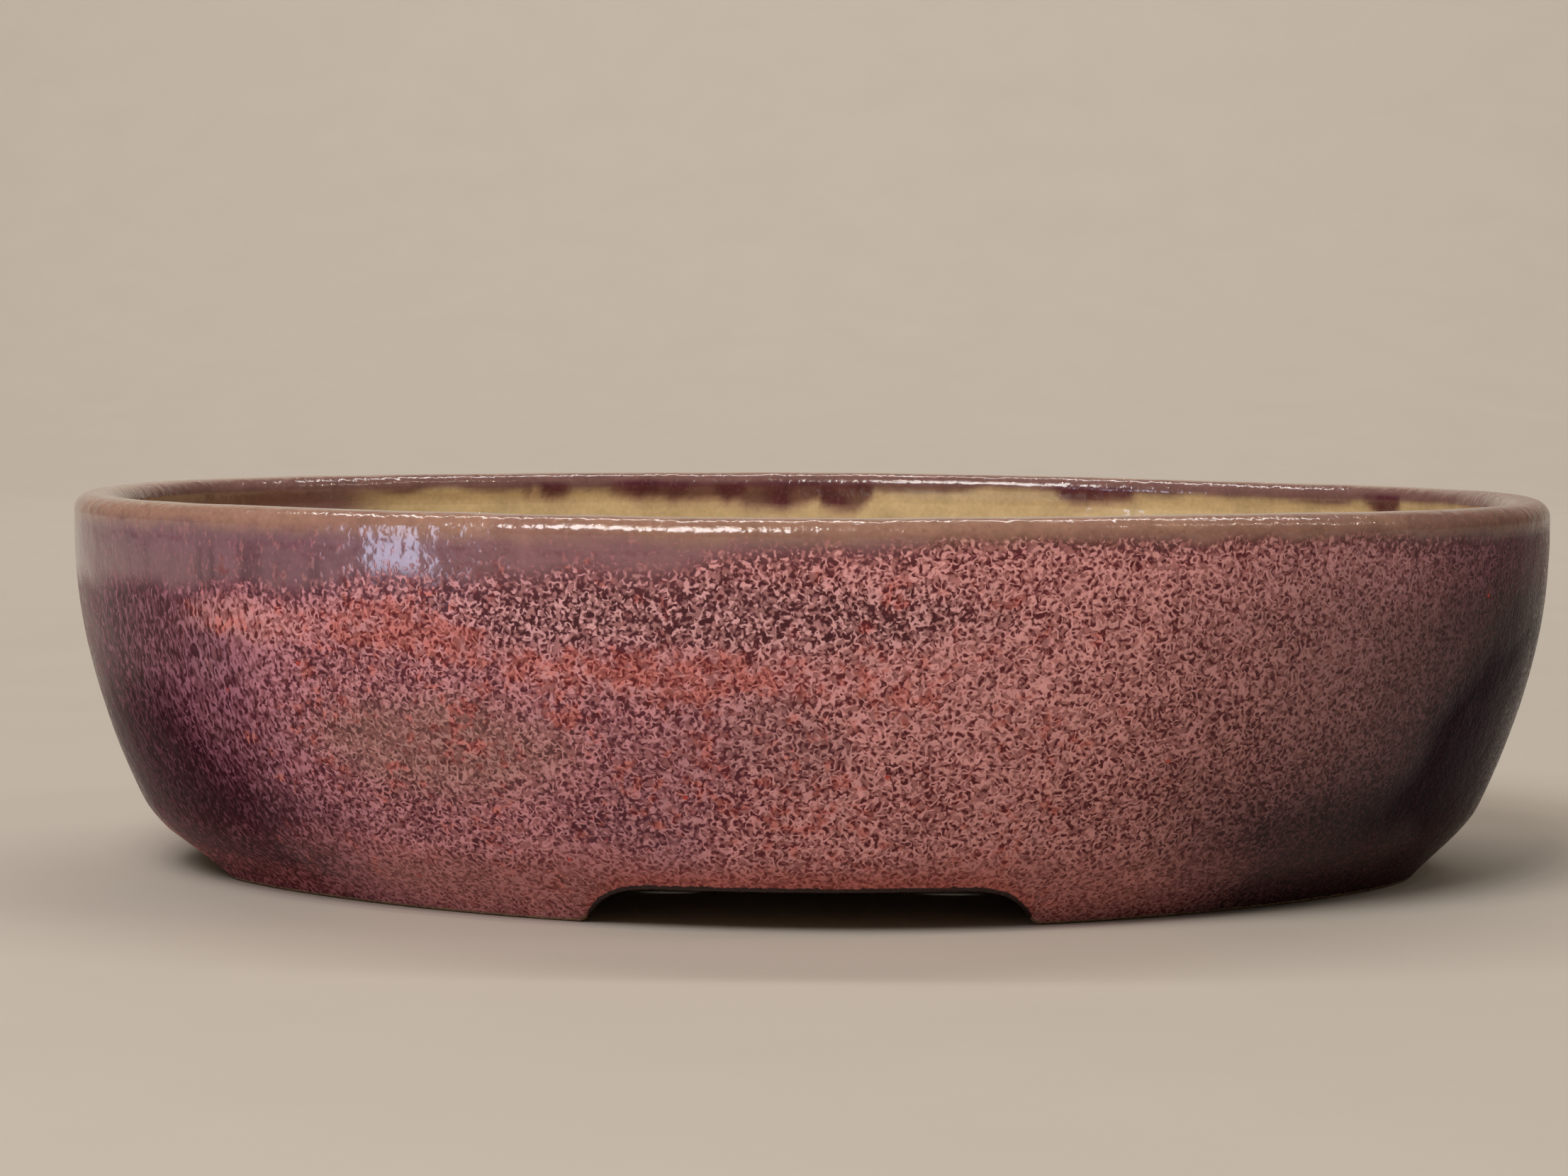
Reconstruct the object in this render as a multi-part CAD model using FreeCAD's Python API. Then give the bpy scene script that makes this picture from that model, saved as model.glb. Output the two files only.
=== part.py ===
"""Oval glazed bonsai pot on four cut feet, as the clay pieces that a potter joins, with its drain fittings.

Millimetres, +Z up. The origin is the middle of the pot, on the surface that its feet stand on.
X runs along the long axis of the oval, and the front of the pot faces -Y.
"""

import FreeCAD, Part
import math
import os

from FreeCAD import Vector

# --- Driving dimensions -------------------------------------------------------------------------

LENGTH = 260.0            # outside, along X, at the rim
WIDTH = 204.0             # outside, along Y, at the rim
HEIGHT = 66.0             # from the soles of the feet to the top of the rim

# Outside of the wall: upright near the rim, a long curve inwards below, and a faster tuck at the feet.
CURVE_TOP = 60.0          # the wall is upright above this height
CURVE_INSET = 17.9        # how far the long curve brings the wall in by the ground
TUCK_TOP = 12.0           # the faster tuck starts at this height
TUCK_INSET = 3.5          # how much further in that brings it
SHOULDER_PINCH = 0.05     # the oval's four shoulders draw in by this share at the ground
OVAL_POINTS = 32          # points that carry each oval's smooth curve

# Clay
RIM_BAND_WIDTH = 7.4
RIM_OUTER_ROUND = 2.8
RIM_INNER_ROUND = 2.4
WALL = 6.6                # thickness of the wall under the rim band
FLOOR = 6.5               # thickness of the floor slab
COVE = 6.0                # radius of the hollow corner between wall and floor

# Feet: a ring under the wall, cut through by a notch at the front, the back and each end.
FOOT_HEIGHT = 6.6
FOOT_WIDTH = 15.5         # from a foot's outer face to its inner one, at its top
SIDE_NOTCH = 73.0         # width of the front and back notches at the ground
LEFT_NOTCH = 56.0         # the end notches are cut by eye, and the right one is narrower
RIGHT_NOTCH = 38.0
NOTCH_SLOPE = 12.2        # each side of a notch leans over by this much
NOTCH_HEEL = (3.0, 4.1)   # how the side of a notch leaves the ground: along, then up
NOTCH_SHOULDER = 4.0      # how far along the curve turns level

# Holes in the floor
DRAIN_RADIUS = 11.0
DRAIN_X = 52.0            # each side of the middle, on the long axis
WIRE_HOLE_RADIUS = 2.25
WIRE_HOLE_X = 24.0
WIRE_HOLE_Y = 36.0

# Drain net: a square of plastic mesh over each drain hole
NET_CELLS = 11
NET_PITCH = 3.0
NET_STRAND = 0.9
NET_THICKNESS = 1.0

# Clip: one wire, with a loop at each end that lies on the net, and two legs down through the drain
# hole whose toes fold out under the floor.
WIRE_RADIUS = 0.75
WIRE_BEND = 2.0           # radius of the wire's centre line where it folds
CLIP_LOOP = NET_PITCH     # radius of the loops, so that the legs pass through whole cells
CLIP_LEG_Y = 3 * NET_PITCH
CLIP_LOOP_Y = 12.5        # where the loops are centred
CLIP_TOE = 17.0           # how far from the middle the toes reach
CLIP_GAP = 0.15           # between the wire and what it holds

# --- Worked out ---------------------------------------------------------------------------------

FLOOR_TOP = FOOT_HEIGHT + FLOOR
NET_TOP = FLOOR_TOP + NET_THICKNESS
PAST = 5.0                # how far a cutting tool runs past what it cuts
UP = Vector(0, 0, 1)

# Heights of the ovals that carry each clay surface's curve
FOOT_SECTIONS = (0.0, 2.2, 4.4, FOOT_HEIGHT)
LOW_SECTIONS = (FOOT_HEIGHT, 9.5, TUCK_TOP, 18.0)
HIGH_SECTIONS = (27.0, 37.0, 48.0, CURVE_TOP)
COVE_SECTIONS = 5


# --- The oval and its outline -------------------------------------------------------------------

def inset(z):
    """How far the outside of the wall stands in from the rim's outline at height z."""
    curve = max(0.0, 1 - z / CURVE_TOP)
    tuck = max(0.0, 1 - z / TUCK_TOP)
    return CURVE_INSET * curve**2 + TUCK_INSET * tuck**2 * (3 - 2 * tuck)


def lean(z):
    """How steeply the outside of the wall leans outwards at height z, as run over rise."""
    step = 0.01
    return (inset(z - step) - inset(z + step)) / (2 * step)


def oval(z, offset=0.0):
    """The oval at height z that lies offset inside the outside of the wall, as a closed wire."""
    half_length = LENGTH / 2 - inset(z) - offset
    half_width = WIDTH / 2 - inset(z) - offset
    pinch = SHOULDER_PINCH * inset(z) / inset(0)
    points = []
    for k in range(OVAL_POINTS):
        angle = 2 * math.pi * k / OVAL_POINTS
        share = 1 - pinch * math.sin(2 * angle)**2
        points.append(Vector(share * half_length * math.cos(angle), share * half_width * math.sin(angle), z))
    curve = Part.BSplineCurve()
    curve.interpolate(Points=points, PeriodicFlag=True)
    return Part.Wire([curve.toShape()])


def prism(wire, low, high):
    """An upright solid of the wire's outline, from height low to height high."""
    base = wire.copy()
    base.translate(Vector(0, 0, low - wire.BoundBox.Center.z))
    return Part.Face(base).extrude(UP * (high - low))


def loft(wires):
    """The solid inside a smooth skin over the wires. A higher degree would make the skin bulge."""
    solid = True
    ruled = False
    closed = False
    degree = 3
    return Part.makeLoft(wires, solid, ruled, closed, degree)


def cylinder(radius, low, high, x, y):
    return Part.makeCylinder(radius, high - low, Vector(x, y, low))


# --- Clay pieces --------------------------------------------------------------------------------

def edge_on_top(solid, inner):
    """The inner or the outer edge of a ring's flat top."""
    slack = 0.01
    edges = [edge for edge in solid.Edges if edge.BoundBox.ZMin > solid.BoundBox.ZMax - slack]
    edges.sort(key=lambda edge: edge.BoundBox.XLength)
    return edges[0] if inner else edges[-1]


def rim_band():
    """The rolled band on top of the wall, as thick as the rim, with both its top edges rounded."""
    band = prism(oval(HEIGHT), CURVE_TOP, HEIGHT)
    band = band.cut(prism(oval(HEIGHT, RIM_BAND_WIDTH), CURVE_TOP - PAST, HEIGHT + PAST))
    band = band.makeFillet(RIM_OUTER_ROUND, [edge_on_top(band, inner=False)])
    return band.makeFillet(RIM_INNER_ROUND, [edge_on_top(band, inner=True)])


def wall_inside():
    """The ovals of the wall's inner face, from the cove's foot at the floor up to the rim band."""
    sections = []
    for k in range(COVE_SECTIONS):
        turn = math.pi / 2 * k / (COVE_SECTIONS - 1)
        z = FLOOR_TOP + COVE * (1 - math.cos(turn))
        sections.append(oval(z, WALL * math.hypot(1, lean(z)) + COVE * (1 - math.sin(turn))))
    for z in HIGH_SECTIONS:
        sections.append(oval(z, WALL * math.hypot(1, lean(z))))
    return sections


def pot_wall():
    """The oval side wall between the feet and the rim band, thickened into a cove at the floor."""
    inside = wall_inside()
    wall = loft([oval(z) for z in LOW_SECTIONS + HIGH_SECTIONS])
    wall = wall.cut(loft(inside))
    return wall.cut(prism(inside[0], FOOT_HEIGHT - PAST, FLOOR_TOP))


def pot_floor():
    """The slab that fills the wall's foot, with two drain holes and four holes for tie wires."""
    slab = prism(wall_inside()[0], FOOT_HEIGHT, FLOOR_TOP)
    low = FOOT_HEIGHT - PAST
    high = FLOOR_TOP + PAST
    for left_right in (-1, 1):
        slab = slab.cut(cylinder(DRAIN_RADIUS, low, high, left_right * DRAIN_X, 0))
        for y in (-WIRE_HOLE_Y, WIRE_HOLE_Y):
            slab = slab.cut(cylinder(WIRE_HOLE_RADIUS, low, high, left_right * WIRE_HOLE_X, y))
    return slab


def notch(width, reach):
    """A tool that cuts a notch through the foot ring, from the Z axis out along Y by reach.

    Each side leaves the ground at a slant and turns level along the top."""
    half = width / 2
    level = half - NOTCH_SLOPE
    along, up = NOTCH_HEEL

    def side(sign):
        curve = Part.BezierCurve()
        curve.setPoles([
            Vector(sign * half, 0, 0),
            Vector(sign * (half - along), 0, up),
            Vector(sign * (half - NOTCH_SHOULDER), 0, FOOT_HEIGHT),
            Vector(sign * level, 0, FOOT_HEIGHT),
        ])
        return curve.toShape()

    top = Part.makeLine(Vector(level, 0, FOOT_HEIGHT), Vector(-level, 0, FOOT_HEIGHT))
    corners = [Vector(-half, 0, 0), Vector(-half, 0, -PAST), Vector(half, 0, -PAST), Vector(half, 0, 0)]
    below = Part.makePolygon(corners).Edges
    outline = Part.Wire(Part.__sortEdges__([side(1), top, side(-1), *below]))
    return Part.Face(outline).extrude(Vector(0, reach, 0))


def feet():
    """The four feet, as (node name, solid) pairs."""
    ring = loft([oval(z) for z in FOOT_SECTIONS])
    ring = ring.cut(prism(oval(FOOT_HEIGHT, FOOT_WIDTH), -PAST, FOOT_HEIGHT + PAST))
    for turn, width in ((0, SIDE_NOTCH), (90, LEFT_NOTCH), (180, SIDE_NOTCH), (270, RIGHT_NOTCH)):
        tool = notch(width, LENGTH)
        tool.rotate(Vector(0, 0, 0), UP, turn)
        ring = ring.cut(tool)
    named = []
    for foot in ring.Solids:
        front_back = "front" if foot.CenterOfMass.y < 0 else "back"
        left_right = "left" if foot.CenterOfMass.x < 0 else "right"
        named.append((f"foot_{front_back}_{left_right}", foot))
    return named


# --- Drain fittings -----------------------------------------------------------------------------

def square(centre_x, centre_y, side, z):
    half = side / 2
    corners = [(-half, -half), (half, -half), (half, half), (-half, half), (-half, -half)]
    return Part.makePolygon([Vector(centre_x + x, centre_y + y, z) for x, y in corners])


def drain_net(x):
    """A square of plastic mesh that lies on the floor over the drain hole at x."""
    opening = NET_PITCH - NET_STRAND
    first = -NET_PITCH * (NET_CELLS - 1) / 2
    centres = [first + NET_PITCH * k for k in range(NET_CELLS)]
    holes = [square(x + along, across, opening, FLOOR_TOP) for along in centres for across in centres]
    rim = square(x, 0, NET_CELLS * NET_PITCH + NET_STRAND, FLOOR_TOP)
    return Part.makeFace([rim, *holes], "Part::FaceMakerBullseye").extrude(UP * NET_THICKNESS)


def arc(start, middle, end):
    return Part.Arc(start, middle, end).toShape()


def clip_half(sign, top, toe):
    """One half of the clip's centre line: a toe, a leg, a loop, and half of the bar behind the legs."""
    near = -CLIP_LOOP
    leg = sign * CLIP_LEG_Y
    folded = sign * (CLIP_LEG_Y + WIRE_BEND)
    rise = WIRE_BEND * (1 - math.sqrt(0.5))
    corner = sign * (CLIP_LEG_Y + rise)
    loop = sign * CLIP_LOOP_Y
    return [
        Part.makeLine(Vector(near, sign * CLIP_TOE, toe), Vector(near, folded, toe)),
        arc(Vector(near, folded, toe), Vector(near, corner, toe + rise), Vector(near, leg, toe + WIRE_BEND)),
        Part.makeLine(Vector(near, leg, toe + WIRE_BEND), Vector(near, leg, top - WIRE_BEND)),
        arc(Vector(near, leg, top - WIRE_BEND), Vector(near, corner, top - rise), Vector(near, folded, top)),
        Part.makeLine(Vector(near, folded, top), Vector(near, loop, top)),
        arc(Vector(near, loop, top), Vector(0, loop + sign * CLIP_LOOP, top), Vector(-near, loop, top)),
        Part.makeLine(Vector(-near, loop, top), Vector(-near, 0, top)),
    ]


def mesh_clip(x):
    """The bent wire that holds a net down over the drain hole at x."""
    top = NET_TOP + CLIP_GAP + WIRE_RADIUS
    toe = FOOT_HEIGHT - CLIP_GAP - WIRE_RADIUS
    path = Part.Wire(Part.__sortEdges__(clip_half(-1, top, toe) + clip_half(1, top, toe)))
    start = Vector(-CLIP_LOOP, -CLIP_TOE, toe)
    section = Part.Wire([Part.makeCircle(WIRE_RADIUS, start, Vector(0, 1, 0))])
    wire = path.makePipeShell([section], True, False)
    wire.translate(Vector(x, 0, 0))
    return wire


# --- Every piece, one file each -----------------------------------------------------------------

def pieces():
    yield "rim_band", rim_band()
    yield "pot_wall", pot_wall()
    yield "pot_floor", pot_floor()
    yield from feet()
    for side, x in (("left", -DRAIN_X), ("right", DRAIN_X)):
        yield f"drain_mesh_{side}", drain_net(x)
        yield f"mesh_clip_{side}", mesh_clip(x)


os.makedirs("parts", exist_ok=True)
for name, shape in pieces():
    if not shape.isValid() or len(shape.Solids) != 1:
        raise RuntimeError(f"{name} isn't one sound solid")
    box = shape.optimalBoundingBox()
    print(f"{name:18s} {shape.Volume:10.0f} mm3   x {box.XMin:8.2f} {box.XMax:8.2f}"
          f"   y {box.YMin:8.2f} {box.YMax:8.2f}   z {box.ZMin:6.2f} {box.ZMax:6.2f}")
    shape.exportStep(f"parts/{name}.step")
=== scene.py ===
"""Looks of the oval bonsai pot: glazed clay shells, bare clay underneath, plastic nets and wire clips.

The shapes are worked out in millimetres, in the frame of the CAD, and scaled to metres as each mesh is
made. t is the oval's own angle, in radians from +X. The glaze counts its angles in degrees from the
middle of the front (-Y), plus to the right (+X).
"""

import itertools
import math

import bmesh
import bpy
import numpy as np
from mathutils import Matrix, Vector
from mathutils.geometry import delaunay_2d_cdt


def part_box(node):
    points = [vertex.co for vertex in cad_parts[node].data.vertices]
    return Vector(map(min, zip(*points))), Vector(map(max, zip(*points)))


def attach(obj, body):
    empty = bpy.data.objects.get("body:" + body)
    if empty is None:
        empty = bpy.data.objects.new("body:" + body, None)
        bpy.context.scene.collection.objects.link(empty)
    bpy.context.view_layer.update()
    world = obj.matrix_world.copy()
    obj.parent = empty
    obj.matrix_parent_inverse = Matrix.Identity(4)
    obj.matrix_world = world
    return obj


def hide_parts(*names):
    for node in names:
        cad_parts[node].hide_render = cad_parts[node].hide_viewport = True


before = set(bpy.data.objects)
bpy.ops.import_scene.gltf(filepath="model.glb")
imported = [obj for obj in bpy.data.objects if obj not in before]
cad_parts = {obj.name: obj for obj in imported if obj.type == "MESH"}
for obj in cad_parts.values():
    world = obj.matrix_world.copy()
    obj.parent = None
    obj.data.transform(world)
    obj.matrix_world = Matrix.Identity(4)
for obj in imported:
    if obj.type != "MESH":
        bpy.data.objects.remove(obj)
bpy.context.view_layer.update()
MM = 0.001


def box_mm(node):
    low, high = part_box(node)
    return np.array(low) / MM, np.array(high) / MM


# --- Sizes: the outside ones are read from the frame, and the rest repeat the CAD's ---

RIM_LOW, RIM_HIGH = box_mm("rim_band")
FLOOR_LOW, FLOOR_HIGH = box_mm("pot_floor")
NET_LOW, NET_HIGH = box_mm("drain_mesh_right")

HALF_LENGTH = RIM_HIGH[0]
HALF_WIDTH = RIM_HIGH[1]
HEIGHT = RIM_HIGH[2]
BAND_LOW = RIM_LOW[2]
FOOT_TOP = box_mm("foot_front_left")[1][2]
FLOOR_TOP = FLOOR_HIGH[2]
NET_TOP = NET_HIGH[2]
DRAIN_X = (NET_LOW[0] + NET_HIGH[0]) / 2

CURVE_INSET = 17.9
TUCK_TOP = 12.0
TUCK_INSET = 3.5
SHOULDER_PINCH = 0.05
RIM_WIDTH = 7.4
RIM_OUTER_ROUND = 2.8
RIM_INNER_ROUND = 2.4
WALL = 6.6
COVE = 6.0
FOOT_WIDTH = 15.5
SIDE_NOTCH = 73.0
LEFT_NOTCH = 56.0
RIGHT_NOTCH = 38.0
NOTCH_SLOPE = 12.2
NOTCH_HEEL = (3.0, 4.1)
NOTCH_SHOULDER = 4.0
DRAIN_RADIUS = 11.0
WIRE_HOLE_RADIUS = 2.25
WIRE_HOLE_X = 24.0
WIRE_HOLE_Y = 36.0
NET_CELLS = 11
NET_PITCH = 3.0
NET_STRAND = 0.9
WIRE_RADIUS = 0.75
WIRE_BEND = 2.0
CLIP_LOOP = NET_PITCH
CLIP_LEG_Y = 3 * NET_PITCH
CLIP_LOOP_Y = 12.5
CLIP_TOE = 17.0
CLIP_GAP = 0.15
LIP_LOW = 61.0            # the glaze swells more from here up
LIP_HIGH = 63.5           # and fully from here

EDGE_ROUND = 0.8          # how round the glaze leaves the lower edges
SEAM_STRIP = 0.08         # a narrow strip beside each joint keeps the shading even across it
AROUND = 720              # steps round the oval
ROW = 1.2                 # height of one row of faces on the wall
RIM_ROW = 0.7             # and on the rim band


# --- Smooth random fields ---

def scatter(keys, seed):
    """One evenly spread random value from -1 to 1 for each row of whole numbers."""
    mixed = keys[:, 0] * 73856093 ^ keys[:, 1] * 19349663 ^ keys[:, 2] * 83492791 ^ seed * 29986577
    mixed = (mixed & 0xFFFFFFFF).astype(np.uint64)
    for shift, factor in ((15, 2246822519), (13, 3266489917), (16, 668265263)):
        mixed ^= mixed >> np.uint64(shift)
        mixed = (mixed * np.uint64(factor)) & np.uint64(0xFFFFFFFF)
    return mixed.astype(float) / 2**31 - 1


def field(points, size, seed):
    """A smooth random field from -1 to 1 whose lumps are about size across."""
    cells = points / size + 200
    low = np.floor(cells).astype(np.int64)
    part = cells - low
    part = part * part * (3 - 2 * part)
    total = np.zeros(len(points))
    for corner in itertools.product((0, 1), repeat=3):
        weight = np.prod(np.where(corner, part, 1 - part), axis=1)
        total += weight * scatter(low + np.array(corner), seed)
    return total


def smooth(low, high, value):
    """0 below low and 1 above high, with an easy curve between; low may be the larger."""
    share = np.clip((value - low) / (high - low), 0, 1)
    return share * share * (3 - 2 * share)


# --- The oval ---

def inset(z):
    """How far the outside lies inside the rim's outline at height z."""
    curve = np.maximum(0, 1 - z / BAND_LOW)
    tuck = np.maximum(0, 1 - z / TUCK_TOP)
    return CURVE_INSET * curve**2 + TUCK_INSET * tuck**2 * (3 - 2 * tuck)


def lean(z):
    """Slope of the outside at height z: how much it moves out for each step up."""
    step = 0.01
    return (inset(z - step) - inset(z + step)) / (2 * step)


def pinch(t, z):
    """How much of its size the oval keeps at angle t and height z, where its shoulders draw in."""
    return 1 - SHOULDER_PINCH * inset(z) / inset(0.0) * np.sin(2 * t) ** 2


def on_oval(t, offset, z, height=None):
    """Points of the oval at z that lies offset inside the outside of the wall, placed at height."""
    t, offset, z = np.broadcast_arrays(t, offset, z)
    share = pinch(t, z)
    x = share * (HALF_LENGTH - inset(z) - offset) * np.cos(t)
    y = share * (HALF_WIDTH - inset(z) - offset) * np.sin(t)
    return np.stack([x, y, np.broadcast_to(z if height is None else height, t.shape)], -1)


def hand_made(points):
    """The small unevenness of a pot made by hand: every clay piece goes through it, so they still meet."""
    turn = np.arctan2(points[:, 1] / HALF_WIDTH, points[:, 0] / HALF_LENGTH)
    outward = np.stack([points[:, 0] / HALF_LENGTH**2, points[:, 1] / HALF_WIDTH**2, 0 * turn], -1)
    outward /= np.maximum(np.linalg.norm(outward, axis=1, keepdims=True), 1e-9)
    rise = smooth(FOOT_TOP, HEIGHT, points[:, 2])
    wide = 0.30 * np.sin(2 * turn + 0.7) + 0.18 * np.sin(3 * turn - 1.3)
    lumps = 0.16 * field(points, 17.0, 1) + 0.07 * field(points, 6.0, 2)
    wave = 0.22 * np.sin(2 * turn + 2.2) + 0.14 * np.sin(5 * turn + 0.4) + 0.08 * field(points, 11.0, 3)
    moved = points + outward * (wide * rise + lumps * smooth(0.0, 8.0, points[:, 2]))[:, None]
    saddle = 0.475 * np.sin(turn) ** 2 - 0.125 * np.sin(turn)
    moved[:, 2] += (wave + saddle) * rise
    return moved


# --- The notches between the feet ---

def notch_roof(across, width):
    """Height of a notch's roof at a distance across from its middle."""
    half = width / 2
    share = np.linspace(0, 1, 60)
    left = 1 - share
    along = (left**3 * half + 3 * left**2 * share * (half - NOTCH_HEEL[0])
             + 3 * left * share**2 * (half - NOTCH_SHOULDER) + share**3 * (half - NOTCH_SLOPE))
    up = (3 * left**2 * share * NOTCH_HEEL[1] + 3 * left * share**2 * FOOT_TOP + share**3 * FOOT_TOP)
    return np.interp(across, along[::-1], up[::-1])


def roof_at(x, y):
    """Height of the underside between the feet: the ground under a foot, and the notches' roof elsewhere."""
    ease = 0.5
    total = 0
    for shift in (-ease, 0, ease):
        side = notch_roof(np.abs(x) + shift, SIDE_NOTCH)
        left_end = notch_roof(np.abs(y) + shift, LEFT_NOTCH)
        right_end = notch_roof(np.abs(y) + shift, RIGHT_NOTCH)
        total = total + np.maximum(side, np.where(x < 0, left_end, right_end)) / 3
    return total


def edge_radius(x, y):
    """Radius of the rounded lower edge, which is larger where a notch's side is steep."""
    step = 0.2
    most = 1.7
    slope = np.hypot(roof_at(x + step, y) - roof_at(x - step, y), roof_at(x, y + step) - roof_at(x, y - step))
    return EDGE_ROUND * np.minimum(np.hypot(1, slope / (2 * step)), most)


def edge_offset(points):
    """How far the rounding of the lower edge takes the outside in, at points of the plain outside."""
    x, y, z = points[:, 0], points[:, 1], points[:, 2]
    radius = edge_radius(x, y)
    gap = np.clip(z - roof_at(x, y), 0, radius)
    return radius - np.sqrt(radius**2 - (radius - gap) ** 2)


# --- Meshes ---

def grid_faces(rows, columns, wrap_rows, wrap_columns):
    """Quads over a grid of rows times columns points."""
    row = np.arange(rows if wrap_rows else rows - 1)
    column = np.arange(columns if wrap_columns else columns - 1)
    row, column = np.meshgrid(row, column, indexing="ij")
    next_row = (row + 1) % rows
    next_column = (column + 1) % columns
    corners = [row * columns + column, row * columns + next_column,
               next_row * columns + next_column, next_row * columns + column]
    return np.stack(corners, -1).reshape(-1, 4)


def add_object(name, mesh):
    thing = bpy.data.objects.new(name, mesh)
    bpy.context.scene.collection.objects.link(thing)
    return thing


def face_outward(mesh):
    shape = bmesh.new()
    shape.from_mesh(mesh)
    bmesh.ops.recalc_face_normals(shape, faces=shape.faces)
    shape.to_mesh(mesh)
    shape.free()


def make_mesh(name, points, faces, sharp_rings=()):
    """A smooth-shaded mesh object from points in millimetres. sharp_rings are sets of points whose
    joining edges stay crisp."""
    mesh = bpy.data.meshes.new(name)
    corner = points[np.array([face[:3] for face in faces])]
    normal = np.cross(corner[:, 1] - corner[:, 0], corner[:, 2] - corner[:, 0])
    if (corner.mean(1) * normal).sum() < 0:
        faces = [tuple(face)[::-1] for face in faces]
    mesh.from_pydata((points * MM).tolist(), [], [tuple(int(i) for i in face) for face in faces])
    mesh.shade_smooth()
    ends = np.zeros(len(mesh.edges) * 2, np.int64)
    mesh.edges.foreach_get("vertices", ends)
    ends = ends.reshape(-1, 2)
    crisp = np.zeros(len(ends), bool)
    for ring in sharp_rings:
        member = np.zeros(len(points), bool)
        member[list(ring)] = True
        crisp |= member[ends].all(1)
    mesh.attributes.new("sharp_edge", "BOOLEAN", "EDGE").data.foreach_set("value", crisp)
    return add_object(name, mesh)


def closed_ring(name, rows, sharp_rows):
    """A ring-shaped shell round the pot: rows are closed loops of points that together close up too."""
    count = len(rows[0])
    base = np.concatenate(rows)
    faces = grid_faces(len(rows), count, True, True)
    rings = [range(row * count, (row + 1) * count) for row in sharp_rows]
    return make_mesh(name, hand_made(base), faces, rings), base


def heights(low, high, step=ROW):
    """Heights from low to high, with a narrow strip at both ends."""
    inner = np.linspace(low + SEAM_STRIP, high - SEAM_STRIP, max(2, round((high - low) / step)))
    return [low, *inner, high]


T = np.linspace(0, 2 * math.pi, AROUND, endpoint=False)


def rim_band():
    crown = 0.15
    profile = [(0.0, z) for z in heights(BAND_LOW, HEIGHT - RIM_OUTER_ROUND, RIM_ROW)]
    for turn in np.linspace(0, math.pi / 2, 9)[1:]:
        z = HEIGHT - RIM_OUTER_ROUND * (1 - math.sin(turn))
        profile.append((RIM_OUTER_ROUND * (1 - math.cos(turn)), z))
    for offset in np.linspace(RIM_OUTER_ROUND, RIM_WIDTH - RIM_INNER_ROUND, 5)[1:-1]:
        profile.append((offset, HEIGHT))
    for turn in np.linspace(math.pi / 2, 0, 8):
        z = HEIGHT - RIM_INNER_ROUND * (1 - math.sin(turn))
        profile.append((RIM_WIDTH - RIM_INNER_ROUND * (1 - math.cos(turn)), z))
    for z in heights(BAND_LOW, HEIGHT - RIM_INNER_ROUND, RIM_ROW)[-2::-1]:
        ease = smooth(HEIGHT - RIM_INNER_ROUND, BAND_LOW, z)
        profile.append((RIM_WIDTH + (WALL - RIM_WIDTH) * ease, z))
    middle = RIM_WIDTH / 2
    rows = []
    for offset, z in profile:
        drop = crown * ((offset - middle) / middle) ** 2 * smooth(HEIGHT - 3, HEIGHT, z)
        rows.append(on_oval(T, offset, z, z - drop))
    return closed_ring("rim_band_glazed", rows, (0, len(rows) - 1))


def pot_wall():
    low_rows = FOOT_TOP + np.array([0.0, SEAM_STRIP, 0.25, 0.45, 0.7, 1.0, 1.4, 1.9])
    high_rows = heights(low_rows[-1], BAND_LOW)[2:]
    rows = [on_oval(T, edge_offset(on_oval(T, 0.0, z)), z) for z in low_rows]
    rows += [on_oval(T, 0.0, z) for z in high_rows]
    top = len(rows) - 1
    cove_top = FLOOR_TOP + COVE
    for z in heights(cove_top, BAND_LOW)[::-1]:
        rows.append(on_oval(T, WALL * math.hypot(1, lean(z)), z))
    for turn in np.linspace(math.pi / 2, 0, 10)[1:]:
        z = FLOOR_TOP + COVE * (1 - math.cos(turn))
        offset = WALL * math.hypot(1, lean(z)) + COVE * (1 - math.sin(turn))
        rows.append(on_oval(T, offset, z))
    foot = len(rows) - 1
    rows.append(floor_outline(FOOT_TOP))
    rows.append((rows[0] + rows[-1]) / 2)
    return closed_ring("pot_wall_glazed", rows, (0, top, top + 1, foot, foot + 1))


def floor_outline(z):
    offset = WALL * math.hypot(1, lean(FLOOR_TOP)) + COVE
    return on_oval(T, offset, FLOOR_TOP, z)


def foot_columns(offset, z, reach_x, reach_y, share):
    """Angles in the first quadrant that divide a foot from one notch to the other at an offset and height."""
    low = np.full(np.broadcast(offset, z, share).shape, 0.2)
    high = low + 1.0
    ends = ((low, reach_y, HALF_WIDTH, np.arcsin), (high, reach_x, HALF_LENGTH, np.arccos))
    for _ in range(8):
        for angle, reach, half, way in ends:
            angle[...] = way(reach / (pinch(angle, z) * (half - inset(z) - offset)))
    return low + (high - low) * share


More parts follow.
